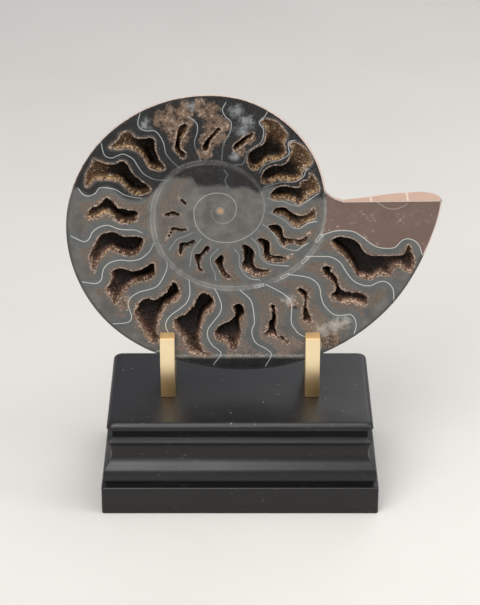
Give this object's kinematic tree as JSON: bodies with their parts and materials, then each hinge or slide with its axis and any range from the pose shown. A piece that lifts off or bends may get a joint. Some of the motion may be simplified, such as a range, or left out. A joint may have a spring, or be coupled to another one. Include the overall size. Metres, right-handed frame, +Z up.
{
  "type": "cut and polished ammonite on a display stand",
  "caption": "Cut and polished cleoniceras ammonite half with crystal-lined chambers, standing in square brass brackets on a moulded black wooden plinth.",
  "frame": {"origin": "centre of the plinth's underside", "axes": "+Z up, the cut and polished face looks along -Y, +X to the right as seen from the cut face"},
  "size_m": [0.2288, 0.105, 0.2616],
  "materials": {
    "black_paint": "satin black painted wood",
    "brushed_brass": "fine vertical brushing",
    "fossil_shell": "mirror-polished cut face, satin outer shell",
    "calcite_crystal": "glittering brown and golden crystal faces"
  },
  "bodies": {
    "root": {"plinth_base_slab": "black_paint", "plinth_moulding": "black_paint", "plinth_top_board": "black_paint", "bracket_left": "brushed_brass", "bracket_right": "brushed_brass", "ammonite_half": "fossil_shell", "chamber_crystals_01": "calcite_crystal", "chamber_crystals_02": "calcite_crystal", "chamber_crystals_03": "calcite_crystal", "chamber_crystals_04": "calcite_crystal", "chamber_crystals_05": "calcite_crystal", "chamber_crystals_06": "calcite_crystal", "chamber_crystals_07": "calcite_crystal", "chamber_crystals_08": "calcite_crystal", "chamber_crystals_09": "calcite_crystal", "chamber_crystals_10": "calcite_crystal", "chamber_crystals_11": "calcite_crystal", "chamber_crystals_12": "calcite_crystal", "chamber_crystals_13": "calcite_crystal", "chamber_crystals_14": "calcite_crystal", "chamber_crystals_15": "calcite_crystal", "chamber_crystals_16": "calcite_crystal", "chamber_crystals_17": "calcite_crystal", "chamber_crystals_18": "calcite_crystal", "chamber_crystals_19": "calcite_crystal", "chamber_crystals_20": "calcite_crystal", "chamber_crystals_21": "calcite_crystal", "chamber_crystals_22": "calcite_crystal", "chamber_crystals_23": "calcite_crystal", "chamber_crystals_24": "calcite_crystal", "chamber_crystals_25": "calcite_crystal", "chamber_crystals_26": "calcite_crystal", "chamber_crystals_27": "calcite_crystal", "chamber_crystals_28": "calcite_crystal"}
  },
  "joints": []
}
